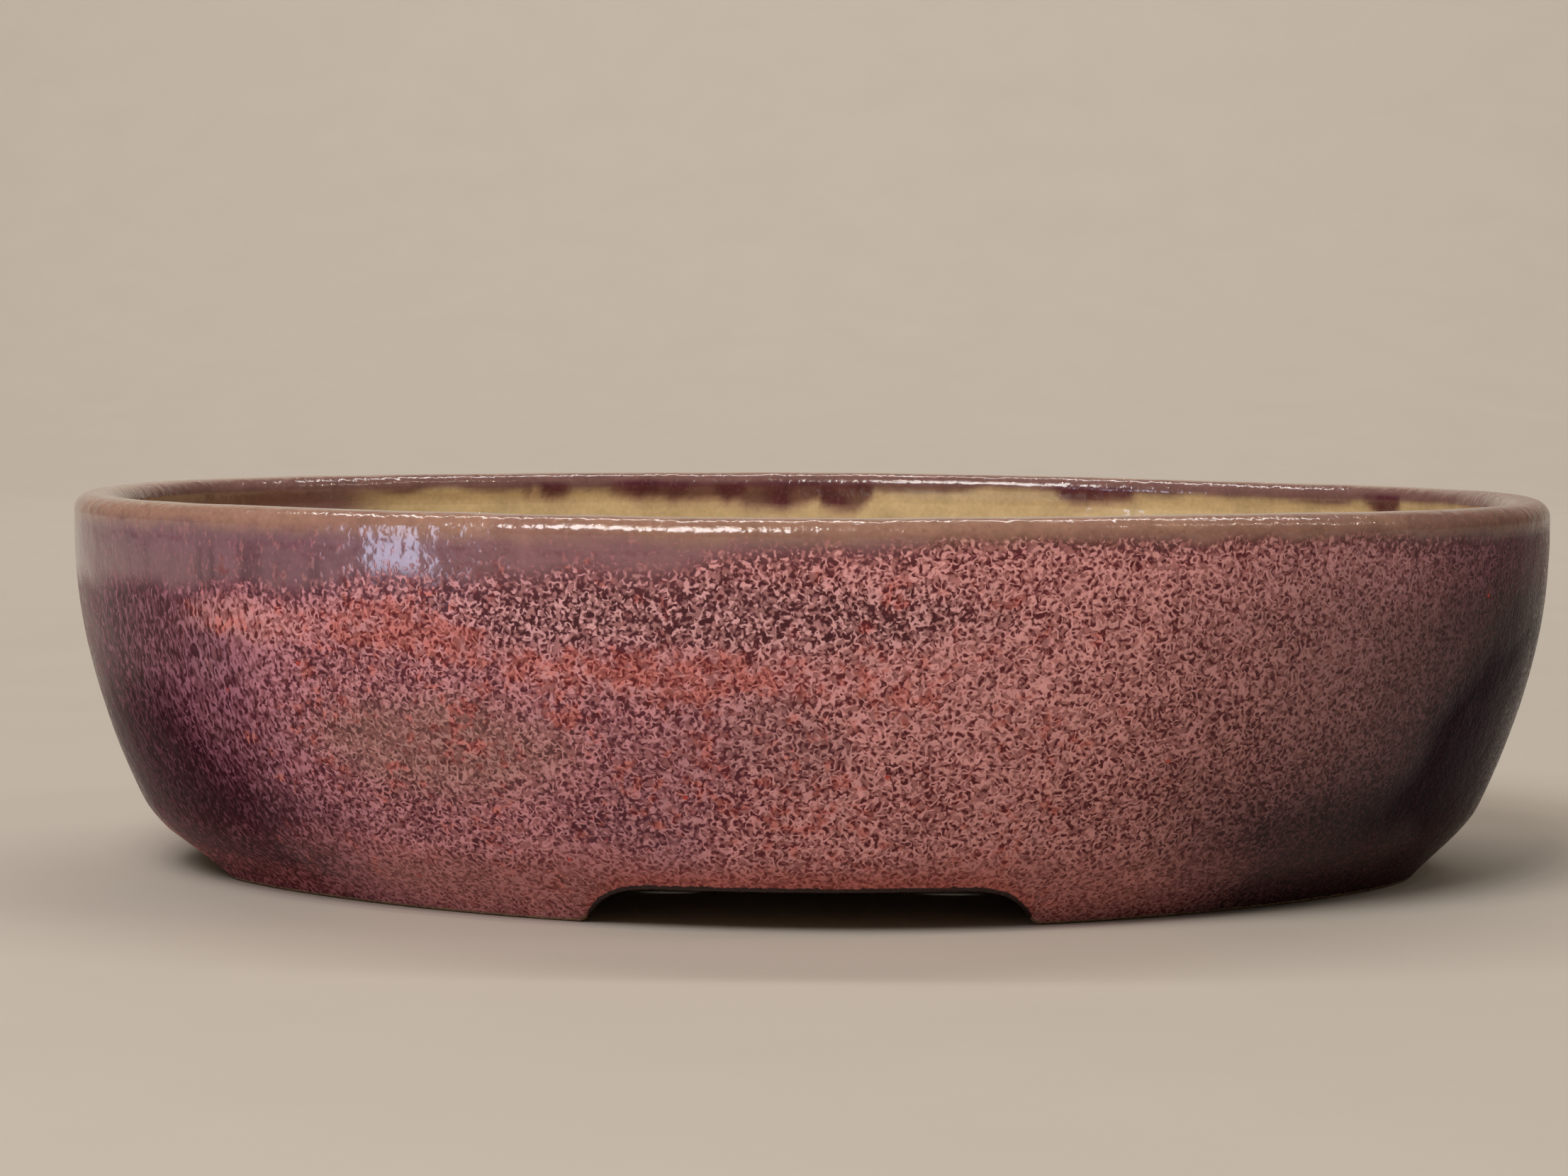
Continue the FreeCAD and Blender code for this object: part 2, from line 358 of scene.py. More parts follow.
def foot(side_x, side_y):
    """A foot between two notches. Its columns run across it, and its rows go round its section."""
    tip = 1.5
    reach_x = SIDE_NOTCH / 2 - NOTCH_SLOPE + tip
    reach_y = (LEFT_NOTCH if side_x < 0 else RIGHT_NOTCH) / 2 - NOTCH_SLOPE + tip
    steps = 150
    crowding = 0.06
    even = np.linspace(0, 1, steps)
    share = even - crowding * np.sin(4 * math.pi * even) / (4 * math.pi)
    sides = np.array([side_x, side_y, 1.0])

    def place(offset, z):
        return on_oval(foot_columns(offset, z, reach_x, reach_y, share), offset, z) * sides

    def roof(offset_of):
        """Heights at which a surface, given by its offset at each height, meets the underside."""
        z = np.full(steps, 3.0)
        for _ in range(25):
            points = place(offset_of(z), z)
            z = 0.5 * z + 0.5 * np.minimum(roof_at(points[:, 0], points[:, 1]), FOOT_TOP - 0.01)
        return z

    def inner_offset(z):
        return FOOT_WIDTH + inset(FOOT_TOP) - inset(z)

    def sole_offset(part):
        return lambda z: outer + (inner_offset(z) - EDGE_ROUND - outer) * part

    rows = []
    bottom = roof(lambda z: 0 * z)
    for part in (0, 0.012, 0.06, 0.14, 0.24, 0.35, 0.46, 0.57, 0.67, 0.76, 0.84, 0.9, 0.945, 0.975, 1.0):
        z = FOOT_TOP - (FOOT_TOP - bottom) * part
        offset = edge_offset(place(0 * z, z))
        t = foot_columns(0 * z, z, reach_x, reach_y, share)
        rows.append(on_oval(t, offset, z) * sides)
    outer = edge_radius(rows[-1][:, 0], rows[-1][:, 1])
    for part in np.linspace(0, 1, 14)[1:]:
        offset_of = sole_offset(part)
        z = roof(offset_of)
        rows.append(place(offset_of(z), z))
    inner_low = roof(inner_offset)
    for part in (0.12, 0.3, 0.6, 0.85, 1.0):
        z = inner_low + (FOOT_TOP - inner_low) * part
        rows.append(place(inner_offset(z), z))
    inner_top = len(rows) - 1
    rows.append((rows[0] + rows[-1]) / 2)
    base = np.concatenate(rows)
    count = len(rows)
    faces = [tuple(face) for face in grid_faces(count, steps, True, False)]
    faces.append(tuple(row * steps for row in range(count)))
    faces.append(tuple(row * steps + steps - 1 for row in reversed(range(count))))
    rings = [range(0, steps), range(inner_top * steps, (inner_top + 1) * steps)]
    name = f"foot_{'front' if side_y < 0 else 'back'}_{'left' if side_x < 0 else 'right'}"
    return make_mesh(name + "_glazed", hand_made(base), faces, rings), base, name


def circle(radius, x, y, z, count):
    turn = np.linspace(0, 2 * math.pi, count, endpoint=False)
    return np.stack([x + radius * np.cos(turn), y + radius * np.sin(turn), np.full(count, z)], -1)


def plate_faces(points, loops):
    """Triangles between an outer loop of points and the hole loops inside it, over all the points."""
    edges = [(a, b) for loop in loops for a, b in zip(loop, [*loop[1:], loop[0]])]
    flat = [Vector(point[:2]) for point in points]
    faces = np.array([face for face in delaunay_2d_cdt(flat, edges, [], 0, 1e-6)[2] if len(face) == 3])
    centre = points[faces][:, :, :2].mean(1)
    keep = np.ones(len(faces), bool)
    for number, loop in enumerate(loops):
        corner = points[loop][:, :2]
        inside = np.zeros(len(faces), bool)
        for a, b in zip(corner, np.roll(corner, -1, axis=0)):
            crosses = (a[1] > centre[:, 1]) != (b[1] > centre[:, 1])
            if abs(b[1] - a[1]) > 1e-12:
                x = a[0] + (centre[:, 1] - a[1]) * (b[0] - a[0]) / (b[1] - a[1])
                inside ^= crosses & (centre[:, 0] < x)
        keep &= inside if number == 0 else ~inside
    return faces[keep]


def pot_floor():
    """The floor slab, with its drain holes and wire holes rounded over at the top and the bottom."""
    holes = [(DRAIN_RADIUS, sx * DRAIN_X, 0.0, 72) for sx in (-1, 1)]
    holes += [(WIRE_HOLE_RADIUS, sx * WIRE_HOLE_X, sy * WIRE_HOLE_Y, 28) for sx in (-1, 1) for sy in (-1, 1)]
    points = []
    faces = []
    loops = {"top": [], "bottom": []}

    def add(block):
        start = sum(len(p) for p in points)
        points.append(block)
        return list(range(start, start + len(block)))

    def strip(a, b):
        count = len(a)
        for k in range(count):
            faces.append((a[k], a[(k + 1) % count], b[(k + 1) % count], b[k]))

    top = add(floor_outline(FLOOR_TOP))
    bottom = add(floor_outline(FOOT_TOP))
    strip(top, bottom)
    loops["top"].append(top)
    loops["bottom"].append(bottom)
    for radius, x, y, count in holes:
        soft = min(0.7, 0.28 * radius)
        rings = []
        for turn in np.linspace(0, math.pi / 2, 5):
            z = FLOOR_TOP - soft * (1 - math.cos(turn))
            rings.append(add(circle(radius + soft * (1 - math.sin(turn)), x, y, z, count)))
        soft = 0.5 * soft
        for turn in np.linspace(math.pi / 2, 0, 4):
            z = FOOT_TOP + soft * (1 - math.cos(turn))
            rings.append(add(circle(radius + soft * (1 - math.sin(turn)), x, y, z, count)))
        for a, b in zip(rings, rings[1:]):
            strip(a, b)
        loops["top"].append(rings[0])
        loops["bottom"].append(rings[-1])
    spacing = 2.6
    edge_gap = 1.6
    hole_gap = 1.8
    for level, z in (("top", FLOOR_TOP), ("bottom", FOOT_TOP)):
        lattice = []
        for row, y in enumerate(np.arange(FLOOR_LOW[1], FLOOR_HIGH[1], spacing * 0.87)):
            for x in np.arange(FLOOR_LOW[0] + (row % 2) * spacing / 2, FLOOR_HIGH[0], spacing):
                reach = (x / (FLOOR_HIGH[0] - edge_gap)) ** 2 + (y / (FLOOR_HIGH[1] - edge_gap)) ** 2
                clear = all(math.hypot(x - hx, y - hy) > radius + hole_gap for radius, hx, hy, _ in holes)
                if reach < 0.96 and clear:
                    lattice.append((x, y, z))
        add(np.array(lattice))
        everything = np.concatenate(points)
        member = np.where(np.isclose(everything[:, 2], z))[0]
        renumber = {old: new for new, old in enumerate(member)}
        local = [[renumber[i] for i in loop] for loop in loops[level]]
        triangles = member[plate_faces(everything[member], local)]
        faces += [tuple(face) if level == "top" else tuple(face[::-1]) for face in triangles]
    base = np.concatenate(points)
    thing = make_mesh("pot_floor_glazed", hand_made(base), faces, [top, bottom])
    face_outward(thing.data)
    return thing, base


# --- Glaze colours ---

WHITE = (1.0, 1.0, 1.0, 1.0)
EMBER = (190, 114, 106)      # the red-orange crystals
COAL = (114, 36, 38)         # the ground between them
LAYERS = ("cover", "streak", "soft", "ember", "clay", "burnt", "dull")


def linear(colour):
    """Linear values from 0 to 1 of a colour that is given as sRGB from 0 to 255."""
    value = np.array(colour, float) / 255
    return np.where(value <= 0.04045, value / 12.92, ((value + 0.055) / 1.055) ** 2.4)


def rgba(colour):
    return (*linear(colour), 1.0)


class Paint:
    """The glaze at every point: the dark ground, the pale crystals on it and how much they cover."""

    def __init__(self, points):
        self.points = points
        self.ground = np.zeros((len(points), 3))
        self.crystal = np.zeros((len(points), 3))
        for name in LAYERS:
            setattr(self, name, np.zeros(len(points)))

    def blend(self, name, value, amount):
        old = getattr(self, name)
        setattr(self, name, old + (value - old) * amount)

    def lay(self, amount, ground, crystal=None, **levels):
        """Blends these values in by amount, which is from 0 to 1 at each point."""
        self.blend("ground", linear(ground), amount[:, None])
        if crystal is not None:
            self.blend("crystal", linear(crystal), amount[:, None])
        for name, value in levels.items():
            self.blend(name, value, amount)

    def save(self, mesh):
        ones = np.ones(len(self.points))
        layers = {
            "glaze_ground": (*self.ground.T, ones),
            "glaze_crystal": (*self.crystal.T, ones),
            "glaze_form": (self.cover, self.streak, self.soft, self.ember),
            "glaze_wear": (self.clay, self.burnt, self.dull, ones),
        }
        for name, channels in layers.items():
            attribute = mesh.attributes.new(name, "FLOAT_COLOR", "POINT")
            attribute.data.foreach_set("color", np.stack(channels, -1).astype(np.float32).ravel())


def span(value, start, full, fading, end):
    """1 from full to fading, easing to 0 at start and at end."""
    return smooth(start, full, value) * smooth(end, fading, value)


def patch(angle, z, at, height, half_angle, half_height):
    """1 in the middle of an oval patch of the outside, easing to 0 at its edge."""
    off = (angle - at + 180) % 360 - 180
    return smooth(1.25, 0.45, np.hypot(off / half_angle, (z - height) / half_height))


def paint_body(paint, angle, z, cloud):
    """The broad fields of the outside, then the clouds and patches on its left half."""
    points = paint.points
    paint.lay(np.ones(len(points)), (102, 40, 46), (206, 146, 142), cover=0.66, streak=0.1, soft=0.3)
    paint.lay(span(angle, 22, 50, 92, 112), (104, 58, 64), (178, 128, 130), cover=0.66, soft=0.8)
    paint.lay(span(angle, 4, -16, -95, -120), (98, 44, 54), (190, 130, 132), cover=0.58)
    plum = span(angle, -34, -54, -110, -140) * smooth(60, 50, z)
    paint.lay(plum, (84, 30, 46), (160, 102, 118), cover=0.44, streak=0.9, soft=0.4)
    paint.dull = 0.97 * plum * smooth(50, 30, z)
    paint.lay(smooth(100, 125, np.abs(angle)), (108, 58, 54), (184, 134, 124), cover=0.62, streak=0.3)
    paint.lay(patch(angle, z, 150, 26, 24, 22), (84, 44, 52), (140, 98, 104), cover=0.35, streak=0.8)
    paint.lay(patch(angle, z, -150, 34, 22, 12), (92, 46, 50), (170, 122, 116), cover=0.45)

    paint.cover += 0.12 * field(points, 7.0, 18) + 0.10 * field(points, 15.0, 19)
    warm = span(angle, -70, -35, 14, 34) + smooth(110, 130, np.abs(angle))
    paint.ember = (0.18 + 0.30 * field(points, 6.0, 20) + 0.12 * field(points, 13.0, 27)) * warm
    violet = smooth(0.12, 0.5, cloud) * smooth(20, -10, angle) * smooth(50, 42, z)
    paint.lay(0.4 * violet, (98, 56, 68), (172, 124, 130), cover=0.5, soft=0.6)
    paint.lay(0.75 * patch(angle, z, -29, 29, 12, 9), (122, 82, 76), (176, 130, 118), cover=0.55, soft=0.8)
    paint.lay(0.6 * patch(angle, z, -3, 32, 6, 10), (96, 50, 56), (176, 128, 126), cover=0.45)
    paint.lay(0.9 * patch(angle, z, -68, 19, 20, 19), (62, 18, 34), (114, 62, 80), cover=0.25, streak=1.0)
    paint.lay(0.8 * patch(angle, z, -56, 12, 16, 9), (58, 18, 32), (114, 64, 78), cover=0.22, soft=0.6)


def paint_right_end(paint, angle, z):
    """Darker glaze towards the right end and lower down, partly painted shade there, an indigo patch on it,
    and a veil that takes away their shine.
    """
    # Partly painted shade: the colour darkens towards the lower right end, where the shade also falls.
    darker_right_and_shade = span(angle, 14, 52, 105, 125) * smooth(52, 22, z + 0.25 * (70 - angle))
    paint.lay(0.85 * darker_right_and_shade, (64, 32, 42), (116, 78, 84), cover=0.45, soft=0.6)
    far_right = span(angle, 42, 66, 100, 118)
    paint.lay(0.85 * far_right, (58, 25, 42), (95, 54, 70), cover=0.5, soft=0.8)
    indigo = smooth(1.18, 0.76, np.hypot((angle - 75) / 21.5, (z - 25) / 26))
    paint.lay(0.97 * indigo, (42, 10, 40), (66, 26, 56), cover=0.34, soft=0.8)
    paint.lay(0.85 * patch(angle, z, 62, 9, 26, 12), (36, 14, 26), (74, 38, 46), cover=0.35, soft=0.7)
    veil = far_right * (0.95 - 0.15 * smooth(36, 50, z))
    paint.dull = np.maximum(paint.dull, np.maximum(0.95 * indigo, veil))


def paint_embers(paint, angle, z, cloud):
    """Flecks high on the front, and the bands and clouds of red crystals half way up."""
    paint.lay(0.9 * patch(angle, z, -8, 51, 25, 6.8), (84, 40, 46), (200, 150, 148), cover=0.36, soft=0.1)
    middle = np.interp(angle, (-80, -58, -30, -22, -12, -2, 6), (49, 48, 48, 43.5, 40.5, 41.5, 42))
    band = smooth(4.6, 1.2, np.abs(z - middle)) * span(angle, -57, -47, -5, 8)
    band *= smooth(-1.1, -0.1, field(paint.points, 5.5, 26))
    paint.lay(band, (112, 44, 46), (198, 136, 134), cover=0.66, soft=0.3)
    paint.ember += (0.55 - 0.30 * smooth(-30, -40, angle)) * band
    glow = smooth(0.25, 0.6, cloud) * smooth(22, 12, np.abs(z - 40)) * smooth(38, 10, np.abs(angle + 10))
    paint.lay(0.5 * glow, (110, 44, 46), cover=0.70)
    paint.ember += 0.22 * glow

    middle = np.interp(np.abs(angle), (110, 135, 160, 180), (47, 42, 46, 44))
    band = smooth(4.4, 1.0, np.abs(z - middle)) * smooth(118, 132, np.abs(angle))
    paint.lay(0.8 * band, (106, 46, 46), cover=0.66)
    paint.ember += 0.45 * band
    paint.ember *= smooth(61, 56, z) * (1 - 0.7 * span(angle, -44, -58, -100, -120))


def paint_dark_ends_and_shade(paint, angle, z):
    """Darkens the glaze towards both ends, below the lip; at the right end this is partly painted shade."""
    # At the right end this darkening is partly painted shade, not only the glaze's own tone.
    shade = np.interp(angle, (-118, -92, -60, -50, -41, 22, 31, 41, 53, 66, 90, 115),
                      (1.0, 0.70, 0.60, 0.78, 1.0, 1.0, 0.82, 0.72, 0.51, 0.38, 0.50, 1.0))
    shade = 1 - (1 - shade) * smooth(58, 47, z)
    paint.ground *= shade[:, None]
    paint.crystal *= shade[:, None]


def paint_foot_band(paint, angle, z):
    """The rosy band round the bottom, which fades towards both ends."""
    rosy = 0.75 * smooth(16, 9, z) * (1 - 0.9 * span(angle, 24, 46, 105, 125))
    rosy *= 1 - 0.8 * span(angle, -36, -50, -100, -120)
    paint.lay(rosy, (132, 64, 64), (188, 122, 118), cover=0.72, soft=0.7, streak=0.2)
    paint.lay(0.7 * smooth(8, 4, z) * patch(angle, z, -64, 4, 24, 10), (98, 40, 44), (160, 92, 92))


def paint_under_lip(paint, angle, z):
    """The thin greyish glaze between the crystals and the lip, with dark runs near its left end."""
    shoulder = np.interp(angle, (-180, -75, -45, -20, 0, 12, 100, 150, 180),
                         (54, 51, 52.5, 55.5, 58.5, 61.5, 60, 55, 54))
    thin = smooth(shoulder - 2.5, shoulder + 4.0, z)
    paint.cover *= 1 - 0.85 * smooth(shoulder - 3.5, shoulder + 4.5, z)
    paint.lay(thin, (126, 84, 86), soft=0.3, streak=0.3)
    paint.lay(0.8 * thin * span(angle, -14, -40, -90, -120), (112, 74, 84), streak=0.8)
    runs = smooth(0.1, 0.8, field(paint.points * [1, 1, 0.12], 2.2, 30)) * span(angle, -20, -42, -95, -130)
    paint.lay(0.8 * runs * span(z, 44, 50, 57, 63), (78, 40, 50))
    paint.lay(thin * span(angle, 30, 62, 100, 118), (76, 50, 58))


def paint_lip(paint, angle):
    """The top of the rim, where the glaze is thin and breaks to ochre."""
    points = paint.points
    lip = smooth(61.3, 64.2, points[:, 2] + 0.7 * field(points, 5.0, 17) + 0.5 * field(points, 1.8, 28))
    paint.lay(lip, (154, 115, 95), (176, 136, 114), cover=0.13, soft=0.9)
    paint.lay(0.6 * lip * smooth(0.0, 0.6, field(points, 9.0, 29)), (140, 100, 88))
    # Darker lip at the right end: partly the glaze, partly painted shade.
    paint.lay(0.75 * lip * span(angle, 28, 66, 100, 118), (112, 80, 74))


def paint_lower_edges(paint, angle):
    """Coral and burnt glaze along the notches, and bare clay where the feet stand."""
    x, y, z = paint.points.T
    roof = roof_at(x, y)
    gap = z - roof
    raised = smooth(0.4, 2.0, roof)
    coral = smooth(5.0, 1.2, gap) * raised * smooth(60, 40, angle)
    paint.lay(0.9 * coral, (142, 56, 52), (188, 106, 98), soft=0.6)
    paint.burnt = np.maximum(paint.burnt, smooth(1.7, 0.2, gap) * raised * (z < 12))
    paint.clay = np.maximum(paint.clay, smooth(1.0, 0.1, gap) * (1 - raised))


def paint_outside(paint):
    """The whole outside, laid on from the broad fields to the edges."""
    points = paint.points
    angle = np.degrees(np.arctan2(points[:, 0] / HALF_LENGTH, -points[:, 1] / HALF_WIDTH))
    angle = angle + 3.5 * field(points, 14.0, 13) + 1.2 * field(points, 5.0, 14)
    z = points[:, 2] + 1.5 * field(points, 11.0, 11) + 0.8 * field(points, 4.0, 12)
    cloud = 0.6 * field(points, 16.0, 15) + 0.4 * field(points, 7.0, 16)
    paint_body(paint, angle, z, cloud)
    paint_right_end(paint, angle, z)
    paint_embers(paint, angle, z, cloud)
    paint_dark_ends_and_shade(paint, angle, z)
    paint_foot_band(paint, angle, z)
    paint_under_lip(paint, angle, z)
    paint_lip(paint, angle)
    paint_lower_edges(paint, angle)


def paint_inside(paint):
    """The pale inside of the wall. Its angles are counted from the middle of the back, plus to the right."""
    points = paint.points
    angle = np.degrees(np.arctan2(points[:, 0] / HALF_LENGTH, points[:, 1] / HALF_WIDTH))
    z = points[:, 2] + 0.8 * field(points, 9.0, 21)
    cloud = 0.6 * field(points, 22.0, 22) + 0.4 * field(points, 8.0, 23)
    paint.lay(np.ones(len(points)), (216, 191, 143), (220, 200, 156), cover=0.03, streak=0.4, soft=0.9)
    paint.lay(0.35 * smooth(0.0, 0.7, cloud), (190, 160, 116))
    paint.lay(0.95 * span(angle, -41, -50, -120, -140) * smooth(40, 52, z), (122, 80, 88), (146, 104, 110))
    paint.lay(0.5 * smooth(30, 18, z), (146, 110, 72))

    ragged = 0.6 * field(points * [1, 1, 0.4], 7.0, 24) + 0.4 * field(points * [1, 1, 0.4], 2.2, 25)
    edge = 62.6 - 0.5 * ragged
    drips = ((-13, 9, 2.0), (-4, 8, 3.2), (3, 4, 3.8), (-26, 4, 1.0), (28, 5, 1.9), (62, 4, 2.2))
    reach = edge
    for at, width, length in drips:
        near = np.abs(angle + 1.4 * ragged - at)
        reach = np.minimum(reach, edge - (length + 0.9 * ragged) * smooth(width, 0.2 * width, near))
    dripping = smooth(0.1, 1.0, edge - reach)
    paint.lay(0.55 * smooth(reach - 2.2, reach, z) * dripping, (152, 108, 98), (176, 132, 118), cover=0.14)
    paint.lay(smooth(edge - 0.7, edge + 1.1, z), (122, 86, 80), (146, 112, 102), cover=0.12)
    patchy = 0.72 + 0.28 * smooth(-0.5, 0.4, field(points * [1, 1, 0.6], 3.0, 34))
    runs = smooth(reach - 0.9, reach + 0.9, z) * dripping * smooth(64.6, 63.4, z)
    paint.lay(patchy * runs, (88, 38, 48), (122, 72, 82), cover=0.16, soft=0.9)


def paint_floor(paint):
    points = paint.points
    cloud = 0.6 * field(points, 26.0, 31) + 0.4 * field(points, 9.0, 32)
    paint.lay(np.ones(len(points)), (150, 118, 72), (178, 150, 102), cover=0.15, streak=0.0, soft=0.9)
    paint.lay(0.7 * smooth(0.05, 0.6, cloud), (118, 78, 58), (150, 110, 80))
    paint.clay = smooth(FLOOR_TOP - 0.9, FLOOR_TOP - 1.9, points[:, 2])


def paint_shell(base, inner):
    """Glaze for a ring piece: inner is how much of each point belongs to the inside of the pot."""
    paint = Paint(base)
    paint_outside(paint)
    inside = Paint(base)
    paint_inside(inside)
    paint.blend("ground", inside.ground, inner[:, None])
    paint.blend("crystal", inside.crystal, inner[:, None])
    for name in LAYERS:
        paint.blend(name, getattr(inside, name), inner)
    return paint


def depth_inside(base):
    """How far each point lies in from the outside of the wall, along its own radius."""
    x, y, z = base.T
    t = np.arctan2(y / (HALF_WIDTH - inset(z)), x / (HALF_LENGTH - inset(z)))
    outer = on_oval(t, 0.0, z)
    return np.linalg.norm(outer[:, :2], axis=1) - np.linalg.norm(base[:, :2], axis=1)


# --- Materials ---

class Shader:
    """A node material under construction: most methods add nodes and give back an output of theirs."""

    def __init__(self, name):
        self.material = bpy.data.materials.new(name)
        self.material.use_nodes = True
        self.tree = self.material.node_tree
        self.principled = self.tree.nodes["Principled BSDF"]

    def add(self, kind, inputs=None, output=0, **settings):
        node = self.tree.nodes.new(kind)
        for name, value in settings.items():
            setattr(node, name, value)
        for name, value in (inputs or {}).items():
            self.feed(node, name, value)
        return node.outputs[output]

    def feed(self, node, name, value):
        if isinstance(value, bpy.types.NodeSocket):
            self.tree.links.new(value, node.inputs[name])
        else:
            node.inputs[name].default_value = value

    def math(self, operation, *values):
        return self.add("ShaderNodeMath", dict(enumerate(values)), operation=operation)

    def plus(self, value, part, factor):
        return self.math("ADD", value, self.math("MULTIPLY", part, factor))

    def vary(self, value, noise, amount):
        """The value, moved up and down by a noise that has its middle at 0.5."""
        return self.plus(value, self.math("SUBTRACT", noise, 0.5), amount)

    def vector(self, operation, *values):
        return self.add("ShaderNodeVectorMath", dict(enumerate(values)), operation=operation)

    def noise(self, where, scale, detail=1.0, roughness=0.5, output="Fac"):
        inputs = {"Vector": where, "Scale": scale, "Detail": detail, "Roughness": roughness}
        return self.add("ShaderNodeTexNoise", inputs, output)

    def between(self, value, low, high, kind="SMOOTHSTEP"):
        """0 at low and 1 at high; low may be the larger."""
        inputs = {"Value": value, "From Min": low, "From Max": high}
        return self.add("ShaderNodeMapRange", inputs, interpolation_type=kind)

    def mix(self, share, a, b, blend="MIX"):
        return self.add("ShaderNodeMix", {0: share, 6: a, 7: b}, 2, data_type="RGBA", blend_type=blend)

    def times(self, colour, filter_colour):
        return self.mix(1.0, colour, filter_colour, "MULTIPLY")

    def scaled(self, colour, factor):
        grey = self.add("ShaderNodeCombineColor", {"Red": factor, "Green": factor, "Blue": factor})
        return self.times(colour, grey)

    def attribute(self, name, output="Color"):
        return self.add("ShaderNodeAttribute", output=output, attribute_name=name)

    def channels(self, colour):
        return tuple(self.add("ShaderNodeSeparateColor", {"Color": colour}).node.outputs)

    def millimetres(self):
        place = self.add("ShaderNodeTexCoord", output="Object")
        return self.vector("MULTIPLY", place, (1 / MM, 1 / MM, 1 / MM))

    def bump(self, height, strength=1.0, distance=1.0):
        return self.add("ShaderNodeBump", {"Strength": strength, "Distance": distance * MM, "Height": height})

    def finish(self, **inputs):
        for name, value in inputs.items():
            self.feed(self.principled, name.replace("_", " "), value)
        return self.material


def crystal_pattern(s, where, cover, streak, soft):
    """Where the crystals lie: how far a point is into one, the full crystals and the thin strands."""
    drift = s.noise(where, 0.8, 1.0, output="Color")
    drift = s.vector("SUBTRACT", drift, (0.5, 0.5, 0.5))
    drift = s.vector("MULTIPLY", drift, (0.9, 0.9, 0.9))
    grain = s.vector("ADD", where, drift)
    tall = s.vector("MULTIPLY", grain, (1.0, 1.0, 0.42))

    def pattern(scale, detail):
        plain = s.noise(grain, scale, detail)
        runny = s.noise(tall, scale, detail)
        return s.add("ShaderNodeMix", {0: streak, 2: plain, 3: runny})

    more = s.math("SUBTRACT", cover, 0.5)
    strand = s.math("ABSOLUTE", s.math("SUBTRACT", pattern(1.05, 0.3), 0.5))
    broken = s.plus(pattern(1.15, 0.5), more, 0.3)
    present = s.math("MULTIPLY", s.between(broken, 0.44, 0.53), s.between(cover, 0.06, 0.3))
    strands = s.math("MULTIPLY", s.between(strand, 0.13, 0.045), present)
    outline = s.math("ABSOLUTE", s.math("SUBTRACT", strand, 0.18))
    outline = s.math("MULTIPLY", s.between(outline, 0.06, 0.0), present)
    body = s.plus(pattern(1.4, 0.6), more, 0.3)
    body = s.math("SUBTRACT", body, s.math("MULTIPLY", outline, 0.14))
    depth = s.math("SUBTRACT", body, 0.5)
    edge = s.plus(0.09, soft, 0.05)
    full = s.between(depth, s.math("MULTIPLY", edge, -1.0), edge)
    full = s.math("MULTIPLY", full, s.between(cover, 0.02, 0.12))
    return depth, full, strands


def crystal_colour(s, where, strands, soft):
    """The colour of the crystals, and how much of it is ember."""
    tint = s.noise(where, 0.9, 1.0)
    clump = s.noise(where, 0.3, 2.0, 0.55)
    gain = s.math("SUBTRACT", 0.56, s.math("MULTIPLY", soft, 0.26))
    bright = s.math("ADD", 0.70, s.math("MULTIPLY", strands, gain))
    bright = s.vary(bright, tint, 0.5)
    bright = s.vary(bright, clump, 0.6)
    ember = s.attribute("glaze_form", "Alpha")
    flame = s.plus(s.noise(where, 0.42, 2.0, 0.6), ember, 0.3)
    flame = s.math("MULTIPLY", s.between(flame, 0.60, 0.76), s.between(ember, 0.02, 0.2))
    colour = s.mix(flame, s.attribute("glaze_crystal"), rgba(EMBER))
    colour = s.scaled(colour, bright)
    return s.times(colour, s.mix(strands, (1.0, 0.86, 0.84, 1.0), WHITE)), flame


def ground_colour(s, where, cover, depth, wash, flame):
    """The colour of the ground between the crystals, darker in its pits."""
    pit = s.math("MULTIPLY", s.between(depth, -0.02, -0.12), 0.3)
    dark = s.math("SUBTRACT", 1.1, s.math("MULTIPLY", pit, s.between(cover, 0.1, 0.4)))
    dark = s.vary(dark, wash, 0.7)
    colour = s.mix(s.math("MULTIPLY", flame, 0.7), s.attribute("glaze_ground"), rgba(COAL))
    dark = s.vary(dark, s.noise(where, 1.1, 2.0, 0.6), 0.45)
    return s.scaled(colour, dark)


def add_spots(s, where, colour, cover):
    """Scattered small red spots."""
    dots = s.add("ShaderNodeTexVoronoi", {"Vector": where, "Scale": 0.16, "Randomness": 1.0})
    red = s.math("MULTIPLY", s.between(dots, 0.085, 0.045), s.between(cover, 0.3, 0.5))
    chosen = s.between(s.channels(dots.node.outputs["Color"])[0], 0.84, 0.86)
    red = s.math("MULTIPLY", red, chosen)
    return s.mix(s.math("MULTIPLY", red, 0.85), colour, rgba((186, 62, 46)))


def add_wear(s, where, colour, clay_level, burnt_level):
    """Burnt edges and bare clay. Gives the colour, how much is bare and the grit of the clay."""
    ragged = s.math("SUBTRACT", s.noise(where, 0.9, 3.0, 0.65), 0.5)
    burnt = s.between(s.math("ADD", burnt_level, ragged), 0.42, 0.62)
    colour = s.mix(burnt, colour, rgba((46, 24, 22)))
    bare = s.between(s.plus(clay_level, ragged, 0.7), 0.42, 0.56)
    grit = s.noise(where, 1.8, 4.0, 0.7)
    clay = s.mix(s.between(grit, 0.38, 0.62), rgba((138, 104, 76)), rgba((186, 158, 124)))
    iron = s.add("ShaderNodeTexVoronoi", {"Vector": where, "Scale": 0.7})
    clay = s.mix(s.between(iron, 0.2, 0.1), clay, rgba((84, 56, 40)))
    return s.mix(bare, colour, clay), bare, grit


